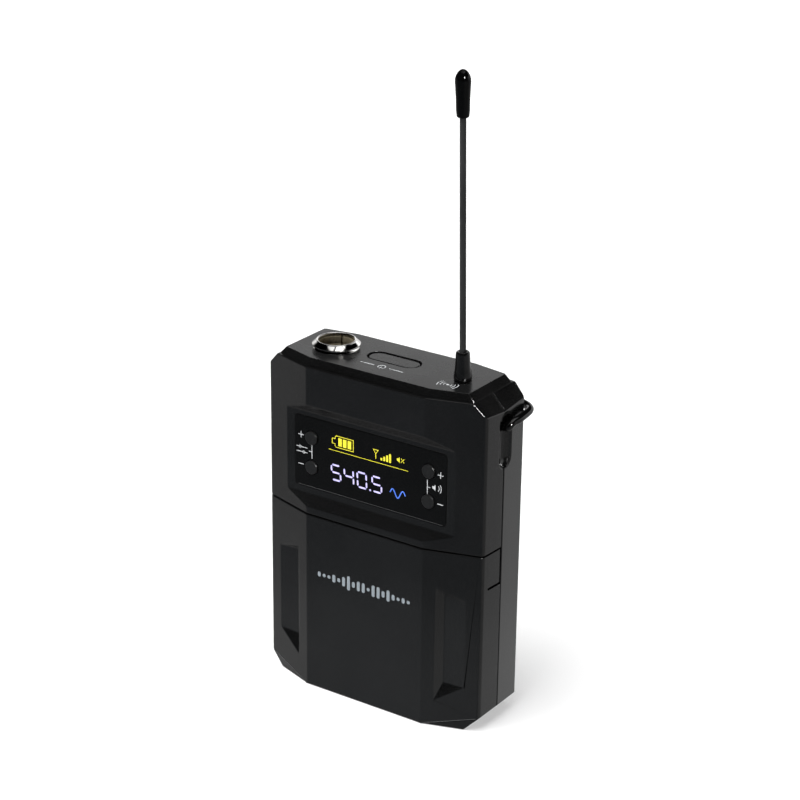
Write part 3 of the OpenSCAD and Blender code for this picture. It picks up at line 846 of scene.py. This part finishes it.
def make_plate_labels():
    """A power sign between two lines before the power key, and radio waves before the antenna."""
    ink = Drawing(on_plate)
    x, depth = 0.3, 6.8
    ink.stroke(arc((x, depth), 0.95, -60, 240, 28), 0.2)
    ink.stroke([(x, depth - 1.2), (x, depth)], 0.2)
    for low, high in ((-5.9, -1.9), (2.5, 6.5)):
        ink.block((low, depth - 0.1), (high, depth + 0.1))
    source = (19.6, 6.4)
    ink.shape(arc(source, 0.34, 0, 345, 23))
    for radius in (1, 1.8, 2.6):
        for side in (0, 180):
            ink.stroke(arc(source, radius, side - 34, side + 34), 0.18)
    ink.finish("plate_labels", WHITE_INK)


def make_socket():
    """Chrome ring with a stepped foot, and a warm lining with a locking groove and a seam."""
    low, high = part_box("socket_barrel")
    middle = ((low.x + high.x) / 2 / MM, ((low.y + high.y) / 2 - FRONT) / MM)
    bottom, top = low.z / MM, high.z / MM
    foot = PLATE_TOP
    ring = turned("socket_ring", [
        (5.22, bottom), (5.22, foot), (5.72, foot), (5.72, foot + 0.1), (5.42, foot + 0.5),
        (5.35, foot + 0.75), (5.98, foot + 0.8), (6.05, foot + 1.1), (5.0, top - 0.18),
        (4.95, top - 0.05), (4.85, top), (4.62, top), (4.5, top - 0.14), (4.6, top - 0.7),
        (4.82, top - 0.9), (4.82, bottom)],
        middle, CHROME)
    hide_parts("socket_barrel")
    lining = top - 0.95
    lining_foot = 84.6
    turned("socket_lining", [
        (4.8, lining), (4.52, lining), (4.44, lining - 0.1), (4.44, lining - 1.5),
        (4.66, lining - 1.6), (4.66, lining - 2.1), (4.44, lining - 2.2),
        (4.44, lining_foot), (4.8, lining_foot)],
        middle, WARM, 111.5, 466.5)


def make_antenna():
    for node, material in (("antenna_boot", JACKET), ("antenna_rod", ROD), ("antenna_tip", TIP)):
        moulded(node, material, 0.12)


# The clip's wire from the end in its right side channel to the middle of its foot: across, behind, up
CLIP_HALF = [
    (29.4, 13.2, 78.9), (31.3, 13.2, 78.9), (32, 13.2, 78.92), (32.5, 13.25, 79.1), (32.8, 13.5, 79.45),
    (32.98, 14, 79.85), (33.15, 14.8, 80.15), (33.55, 16.4, 80.4), (33.6, 18, 80.6),
    (33.55, 19.8, 80.8), (33.35, 21.2, 80.9), (32.85, 22.3, 80.95), (31.95, 23.15, 81),
    (30.7, 23.8, 81.05), (26, 25.15, 81.3), (20.7, 26.4, 81.5), (18.7, 26.9, 81.1), (17.7, 27.2, 80.1),
    (17.5, 27.3, 78.5), (17.5, 27, 60), (17.5, 26.6, 38), (17.5, 26.7, 34), (17, 26.9, 32),
    (15.7, 27.2, 30.2), (13.5, 27.5, 29.3), (10.5, 27.6, 29),
]


def make_clip():
    """One spring wire, from one side channel round the back and across its foot to the other."""
    points = [at(*point) for point in CLIP_HALF]
    points += [Vector((-point.x, point.y, point.z)) for point in reversed(points)]
    piece = wire("clip_wire", smooth_route(points, 5), 1.0 * MM, WIRE, "clip")
    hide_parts("belt_clip")


def make_inside():
    for node in ("display_module", "key_switches", "power_switch", "socket_insert", "battery_tray"):
        dress(node, INNER)
    dress("main_board", BOARD)
    for node in ("radio_shield", "socket_nut", "door_hinge_pin", "case_screws"):
        dress(node, STEEL)
    for node in ("linking_contact", "positive_contact", "negative_contact"):
        moulded(node, STEEL, 0.06, 2)
    dress("socket_pins", GOLD)
    dress("antenna_ferrule", BLACKENED)


def make_cells():
    """Each cell in a sleeve with a coloured band at its positive end and bare steel ends."""
    for node, nub in (("upper_cell", 1), ("lower_cell", -1)):
        low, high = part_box(node)
        depth = ((low.y + high.y) / 2 - FRONT) / MM
        height = (low.z + high.z) / 2 / MM
        radius = (high.y - low.y) / 2 / MM
        length = (high.x - low.x) / MM
        flat = nub * (-length / 2)

        def along(name, profile, material):
            """A closed profile of (distance from the flat end, radius) turned about the cell."""
            form = bmesh.new()
            steps = 64
            rings = []
            for i in range(steps):
                angle = 2 * math.pi * i / steps
                back, up = math.cos(angle), math.sin(angle)
                rings.append([form.verts.new(at(flat + nub * far, depth + r * back, height + r * up))
                              for far, r in profile])
            for i in range(steps):
                for k in range(len(profile)):
                    form.faces.new((rings[i - 1][k - 1], rings[i][k - 1], rings[i][k], rings[i - 1][k]))
            bmesh.ops.recalc_face_normals(form, faces=form.faces)
            piece = finish_piece(name, form, material, "root")
            round_edges(piece, 0.12, 2)
            return piece

        rim = radius - 0.6
        band = length - 15
        shoulder = length - 1
        nub_radius = 2.75
        can = along(node + "_can", [
            (0, 0.01), (0, rim), (0.3, radius - 0.15), (shoulder - 0.3, radius - 0.15), (shoulder, rim),
            (shoulder, nub_radius), (length, nub_radius), (length, 0.01)], STEEL)
        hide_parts(node)
        along(node + "_sleeve", [(0.3, rim), (0.2, radius), (band, radius), (band, rim)],
              SLEEVE)
        along(node + "_band", [(band, rim), (band, radius), (length - 1.2, radius), (length - 1.1, rim)],
              COPPER)


def make_door_ribs():
    """Three upright ribs that stiffen the door from inside."""
    width = 0.9
    height = 36
    for i, x in enumerate((-15.5, 0, 15.5)):
        form = bmesh.new()
        bmesh.ops.create_cube(form, size=1)
        for vertex in form.verts:
            across, back, up = vertex.co
            vertex.co = at(x + width * across, 2.35 + width * back, 25 + height * up)
        rib = finish_piece("door_rib_%d" % (i + 1), form, CASE, "door")
        round_edges(rib, 0.25)


def make_back_label():
    """A blank label in the shallow panel on the back, with a thin border and three ruled lines."""
    middle = (0, 22)
    panel_floor = BACK - 0.36
    film = 0.1
    panel = Drawing(lambda across, height, rise: at(across, panel_floor + rise, height), film)
    panel.shape(rounded_box(middle, 24.2, 27.2, 1.2))
    panel.finish("back_label", LABEL)
    ink = Drawing(lambda across, height, rise: at(across, panel_floor + film + rise, height), 0.03)
    ink.stroke(rounded_box(middle, 22.4, 25.4, 0.8), 0.2, True)
    for height in (17, 22, 27):
        ink.block((-8.5, height - 0.1), (8.5, height + 0.1))
    ink.finish("back_label_lines", PALE_INK)


# ---------------------------------------------------------------- making it all

bpy.context.scene.view_settings.view_transform = "Standard"
make_camera()
make_floor()
make_backdrop()
make_floor_glow()
make_surroundings()
make_case()
make_door_mark()
make_door_ribs()
make_display()
make_key_labels()
make_plate_labels()
make_socket()
make_antenna()
make_clip()
make_inside()
make_latch_webs()
make_crease_highlights()
make_window_highlight()
make_cells()
make_back_label()
make_lights()
